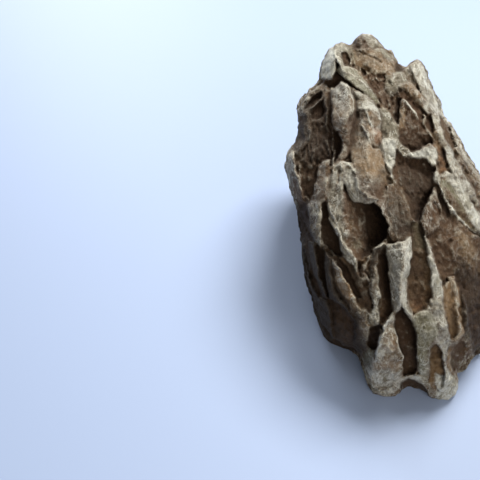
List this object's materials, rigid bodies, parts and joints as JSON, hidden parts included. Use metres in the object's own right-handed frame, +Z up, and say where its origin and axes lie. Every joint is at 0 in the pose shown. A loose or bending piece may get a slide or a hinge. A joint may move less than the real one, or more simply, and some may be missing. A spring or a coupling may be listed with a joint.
{
  "type": "dragon stone",
  "caption": "Rugged dragon stone for aquariums and rockwork, a blunt leaning boulder whose sloping face is eroded into long almond hollows with thin scaly rims.",
  "frame": {"origin": "on the ground, under the centre of the bounding box", "axes": "+Z up; +Y from the two blunt feet towards the tall far end, the length of the stone; the sloping pocketed face looks towards -Y and up"},
  "size_m": [0.134, 0.2, 0.1304],
  "materials": {
    "weathered_stone": "matte"
  },
  "bodies": {
    "root": {"dragon_stone": "weathered_stone"}
  },
  "joints": []
}
